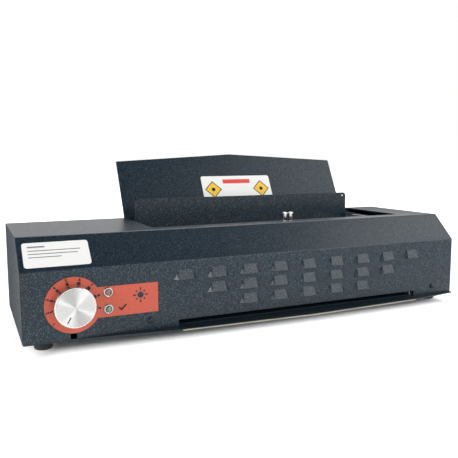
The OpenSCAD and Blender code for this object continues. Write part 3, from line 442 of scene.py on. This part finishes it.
# Width of each rounded edge, in millimetres.
SOFT_EDGES = {
    "housing_cover": 0.25, "base_tray": 0.2, "rear_panel": 0.2, "exit_deflector": 0.25,
    "exit_guide": 0.25, "side_frame_left": 0.15, "side_frame_right": 0.15, "upper_cross_bar": 0.15,
    "mains_inlet": 0.3, "control_board": 0.1, "fan_frame": 0.25, "motor_bracket": 0.15,
}

# ---------- dial and panel printing ----------

UPRIGHT = (0, 0, 1)
PANEL = surface((left_x, panel_face_y, base_z), UPRIGHT)
DIAL_U = (dial_centre.x - left_x) / MM
DIAL_V = (dial_centre.z - base_z) / MM
MARK_ANGLES = [48.8 + 29.2 * i for i in range(9)]  # degrees, clockwise from straight down
NUMERAL_R = 20.4
BLOCK_R = 17.45
POINTER_R = 10.6


def round_dial(angle, r):
    """The point at one of those angles and a radius, in the panel's (u, v)."""
    return DIAL_U - r * sin(radians(angle)), DIAL_V - r * cos(radians(angle))


def numeral_mesh(text, size):
    """A number as a thin solid, centred on the (u, v) plane, in millimetres."""
    curve = bpy.data.curves.new("numeral", "FONT")
    curve.body = text
    curve.size = size
    curve.align_x = "CENTER"
    curve.align_y = "CENTER"
    curve.extrude = 0.02
    curve.offset = 0.16  # makes the strokes bold
    curve.resolution_u = 4
    holder = bpy.data.objects.new("numeral", curve)
    bpy.context.scene.collection.objects.link(holder)
    bpy.context.view_layer.update()
    mesh = bpy.data.meshes.new_from_object(holder)
    bpy.data.objects.remove(holder)
    return mesh


def dial_numbers():
    """Numbers round the dial, their tops outwards."""

    def build(bm):
        for i, angle in enumerate(MARK_ANGLES):
            mesh = numeral_mesh(str(i + 1), 3.4)
            u, v = round_dial(angle, NUMERAL_R)
            turn = Matrix.Rotation(radians(180 - angle), 4, "Z")
            to_metres = Matrix.Diagonal((MM, MM, MM, 1))
            mesh.transform(to_metres @ Matrix.Translation((u, v, 0.02)) @ turn)
            bm.from_mesh(mesh)
            bpy.data.meshes.remove(mesh)

    mesh = mesh_from("dial_numbers", build, PANEL)
    new_piece("dial_numbers", mesh, INK["black"], "chassis")


def dial_blocks():
    """Blocks that grow clockwise round the dial."""
    outlines = []
    for i, angle in enumerate(MARK_ANGLES[1:]):
        u, v = round_dial(angle, BLOCK_R)
        width = min(1.1 + 0.45 * i, 2.9)
        outlines.append(bar(u, v, width, 2.4, radians(180 - angle)))
    print_on("dial_blocks", PANEL, outlines, INK["black"], "chassis")


def sun_sign():
    """Plain sun on the panel: a disc, with short and long rays by turns."""
    u, v = 93.0, 30.4
    ray_start = 3.6
    outlines = [disc(u, v, 2.6)]
    for i in range(8):
        turn = pi * i / 4
        ray_end = 5.4 if i % 2 else 6.4
        middle = (ray_start + ray_end) / 2
        at = (u + middle * cos(turn), v + middle * sin(turn))
        outlines.append(bar(*at, ray_end - ray_start, 1.15, turn))
    print_on("sun_sign", PANEL, outlines, INK["teal"], "chassis")


def ready_sign():
    """Plain tick beside the lower lamp."""
    tick = [(74.4, 21.4), (75.4, 22.3), (76.9, 20.9), (80.6, 24.2), (81.6, 23.2), (76.9, 18.8)]
    print_on("ready_sign", PANEL, [tick], INK["black"], "chassis")


def pointer_line():
    """Black line let into the knob's face."""
    place = surface((dial_centre.x, knob_face_y, dial_centre.z), UPRIGHT)
    turn = radians(31)
    line = bar(-POINTER_R * sin(turn), -POINTER_R * cos(turn), 0.9, 5.4, -turn)
    black = INK["black"]
    print_on("pointer_line", place, [line], black, "dial", -0.28 * MM, 0.3 * MM)


# ---------- lamps ----------


def lamp_lens(node, slot):
    """Fluted lens that fills the bezel, with a shallow dome."""
    low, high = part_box(node)
    place = surface(((low.x + high.x) / 2, low.y, (low.z + high.z) / 2), UPRIGHT)
    radius = (high.x - low.x) / 2
    depth = high.y - low.y
    dome = 1.5 * MM
    flutes = 12

    def flute(turn, r):
        """Flutes are 7% deep, and only on the outer half."""
        return r * (1 - 0.07 * (r > 0.5 * radius) * (0.5 + 0.5 * cos(flutes * turn)))

    def build(bm):
        rim = radius * 0.98
        profile = [(0, -depth), (rim, -depth), (rim, -1.9 * MM), (radius * 0.9, -1.2 * MM)]
        profile += [(radius * cos(a), -dome + dome * sin(a)) for a in (0.5, 0.8, 1.1, 1.35)]
        profile += [(0, 0)]
        add_lathe(bm, profile, 96, flute)

    name = node + "_fluted"
    piece = new_piece(name, mesh_from(name, build, place), MATERIALS[slot], "chassis")
    for face in piece.data.polygons:
        face.use_smooth = True
    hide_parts(node)


# ---------- screws ----------


# (radius, height above the seat) of shank and pan head, in millimetres.
SCREW_PROFILE = [
    (0, -4.4), (1.4, -4.4), (1.4, 0.01), (2.4, 0.01), (2.4, 0.7), (2.15, 1.15),
    (1.6, 1.42), (1.2, 1.48), (0.42, 1.48), (0.3, 0.7), (0, 0.6),
]


def screw_places():
    """(seat, side) of each screw: side -1 faces the front, 1 the rear."""
    inlet_low, inlet_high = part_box("mains_inlet")
    inlet_x = (inlet_low.x + inlet_high.x) / 2
    inlet_z = (inlet_low.z + inlet_high.z) / 2
    deflector_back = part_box("rear_panel")[1].y + 1.22 * MM
    front = [((left_x + x * MM, front_y, base_z + 7.8 * MM), -1) for x in (101.1, 404.8)]
    rear = [((path_x + i * 110 * MM, deflector_back, base_z + 68 * MM), 1) for i in (-1, 0, 1)]
    inlet = [((inlet_x + i * 20 * MM, inlet_high.y, inlet_z), 1) for i in (-1, 1)]
    return front + rear + inlet


def add_screw_head(bm):
    """Pan-head screw standing on w = 0, with the four arms of its cross recess."""
    add_lathe(bm, [(r * MM, w * MM) for r, w in SCREW_PROFILE], 40)
    for arm in range(4):
        turn = arm * pi / 2 + 0.4
        middle = Vector((cos(turn), sin(turn), 0)) * 0.78 * MM
        verts = bmesh.ops.create_cube(bm, size=1)["verts"]
        size = Matrix.Diagonal((0.9 * MM, 0.42 * MM, 0.03 * MM, 1))
        lift = Matrix.Translation((middle.x, middle.y, 1.475 * MM))
        bmesh.ops.transform(bm, matrix=lift @ Matrix.Rotation(turn, 4, "Z") @ size, verts=verts)


def cross_screws():
    """Pan-head screws with a cross recess, in the places of the plain ones."""

    def build(bm):
        for seat, side in screw_places():
            head = bmesh.new()
            add_screw_head(head)
            half_turn = Matrix.Rotation(pi if side > 0 else 0, 4, "Z")
            head.transform(Matrix.Translation(seat) @ half_turn @ surface((0, 0, 0), UPRIGHT))
            mesh = bpy.data.meshes.new("head")
            head.to_mesh(mesh)
            head.free()
            bm.from_mesh(mesh)
            bpy.data.meshes.remove(mesh)

    mesh = mesh_from("cross_screws", build)
    piece = new_piece("cross_screws", mesh, MATERIALS["screw_black"], "chassis")
    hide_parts("housing_screws")


# ---------- sticker printing ----------


STICKER_LIFT = 0.31 * MM  # clear of the sticker's face


def print_on_sticker(name, place, outlines, ink, lift=STICKER_LIFT):
    print_on(name, place, outlines, INK[ink], "chassis", lift)


def caution_sticker():
    """Plain bars on the sticker of the front slope, which starts 56 mm up and runs 25 mm back."""
    crease_h = 56 * MM
    crease = Vector((left_x, front_y, base_z + crease_h))
    slope = surface(crease, Vector((0, 25 * MM, housing_h - crease_h)))
    rows = [(8, 23.6, 13, 1.5), (8, 19.8, 40, 0.85), (8, 16.6, 38, 0.85), (8, 13.4, 25, 0.85)]
    print_on_sticker("caution_bars", slope, [bar(u + w / 2, v, w, h) for u, v, w, h in rows], "grey")


def safety_sticker():
    """A plain bar and two plain diamonds on the sticker of the leaning deflector."""
    lean = radians(27)
    foot = Vector((path_x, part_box("exit_deflector")[0].y, base_z + housing_h))
    face = surface(foot, (0, sin(lean), cos(lean)))
    sign_us, sign_v = (-30, 30), 29
    edges = [bar(u, sign_v, 14.5, 14.5, pi / 4) for u in sign_us]
    fills = [bar(u, sign_v, 12.6, 12.6, pi / 4) for u in sign_us]
    dots = [disc(u, sign_v, 2.2) for u in sign_us]
    layer = 0.03 * MM
    print_on_sticker("safety_heading", face, [bar(0, 38.5, 34, 5)], "red")
    print_on_sticker("safety_sign_edges", face, edges, "black")
    print_on_sticker("safety_signs", face, fills, "yellow", STICKER_LIFT + layer)
    print_on_sticker("safety_dots", face, dots, "black", STICKER_LIFT + 2 * layer)


# ---------- studio ----------


def studio_floor():
    """Pale floor that shines with light of its own, which fades under the object into a soft painted shadow and
    is raised into painted light close round it.
    """
    reach = 6.0
    corners = [(x * reach, y * reach, 0) for x, y in ((-1, -1), (1, -1), (1, 1), (-1, 1))]
    mesh = bpy.data.meshes.new("floor")
    mesh.from_pydata(corners, [], [(0, 1, 2, 3)])

    s = Shader("floor", Emission_Strength=1.0)
    place = s.tree.nodes.new("ShaderNodeSeparateXYZ")
    s.join(s.coordinates, place.inputs["Vector"])
    half_width, half_depth = cad_box[1][0], cad_box[1][1]
    beside = s.math("SUBTRACT", s.math("ABSOLUTE", place.outputs["X"], 0), half_width)
    before = s.math("SUBTRACT", s.math("ABSOLUTE", place.outputs["Y"], 0), half_depth)

    # The ramp runs over metres, and starts this far inside the object's footprint.
    inside = 0.03
    distance = s.math("ADD", s.math("MAXIMUM", beside, before), inside)
    # Painted shadow and painted light: the floor's own light is near nothing inside the footprint, rises over a
    # few centimetres outside it, and is raised to 0.8 close round the object, above the 0.42 further out.
    painted_light_and_shadow = [(0.0, 0.02), (0.008, 0.1), (0.018, 0.45), (0.028, 0.8), (0.08, 0.8), (0.16, 0.42), (1.0, 1.0)]
    s.join(s.ramp(distance, [(d, (g, g, g)) for d, g in painted_light_and_shadow]), s.bsdf.inputs["Emission Color"])
    s.colour(s.ramp(s.noise(3), [(0.3, (0.86, 0.86, 0.86)), (0.7, (0.89, 0.89, 0.89))]))
    s.roughness(s.span(s.noise(6), 0.7, 0.85))

    mesh.materials.append(s.material)
    floor = bpy.data.objects.new("floor", mesh)
    bpy.context.scene.collection.objects.link(floor)


def studio_world():
    """White up to a little above the horizon, and nearly black overhead."""
    world = bpy.data.worlds.new("studio")
    world.use_nodes = True
    bpy.context.scene.world = world
    tree = world.node_tree
    direction = tree.nodes.new("ShaderNodeTexCoord").outputs["Generated"]
    split = tree.nodes.new("ShaderNodeSeparateXYZ")
    tree.links.new(direction, split.inputs["Vector"])
    fade = tree.nodes.new("ShaderNodeValToRGB")
    white, grey, dark = (1.0, 1.0, 1.0), (0.1, 0.1, 0.105), (0.03, 0.03, 0.035)
    fill_ramp(fade, [(0.0, white), (0.3, white), (0.48, grey), (1.0, dark)])
    tree.links.new(split.outputs["Z"], fade.inputs["Fac"])
    tree.links.new(fade.outputs["Color"], tree.nodes["Background"].inputs["Color"])
    tree.nodes["Background"].inputs["Strength"].default_value = 1.0


# Soft boxes, all turned to the object: place, width, height and power in watts.
LIGHTS = {
    "left": ((-2.0, -0.75, 0.68), 0.5, 0.5, 19),
    "front": ((1.15, -1.75, 1.05), 1.9, 0.6, 18),
    "right": ((1.9, -0.3, 1.75), 1.3, 1.3, 13),
    "high": ((1.4, -1.0, 1.6), 0.9, 0.9, 5),
    "back": ((0.7, 1.3, 1.9), 1.6, 1.6, 28),
}


def studio_lights():
    centre = (Vector(cad_box[0]) + Vector(cad_box[1])) / 2
    for name, (place, width, height, power) in LIGHTS.items():
        light = bpy.data.lights.new(name, "AREA")
        light.shape = "RECTANGLE"
        light.size = width
        light.size_y = height
        light.energy = power
        lamp = bpy.data.objects.new(name, light)
        lamp.location = place
        lamp.rotation_euler = (Vector(place) - centre).to_track_quat("Z", "Y").to_euler()
        bpy.context.scene.collection.objects.link(lamp)


def studio_camera():
    """Camera at the photograph's angle: off the left end, at about the deflector's height."""
    camera = bpy.data.cameras.new("camera")
    camera.lens = 45.79
    camera.sensor_width = 36
    camera.clip_start = 0.01
    yaw, pitch, roll = radians(24.39), radians(6.98), radians(0.21)
    heading = Matrix.Rotation(-yaw, 4, "Z")
    tilt = Matrix.Rotation(pi / 2 - pitch, 4, "X")
    place = Matrix.Translation((-0.2487, front_y - 0.4555, base_z + 0.1414))
    view = bpy.data.objects.new("camera", camera)
    view.matrix_world = place @ (heading @ tilt @ Matrix.Rotation(-roll, 4, "Z"))
    bpy.context.scene.collection.objects.link(view)
    bpy.context.scene.camera = view
    bpy.context.scene.view_settings.view_transform = "Standard"


dress_nodes()
for node, width in SOFT_EDGES.items():
    soften(node, width * MM)
dial_numbers()
dial_blocks()
sun_sign()
ready_sign()
pointer_line()
lamp_lens("power_lamp_lens", "lens_red")
lamp_lens("ready_lamp_lens", "lens_green")
cross_screws()
caution_sticker()
safety_sticker()
studio_floor()
studio_world()
studio_lights()
studio_camera()
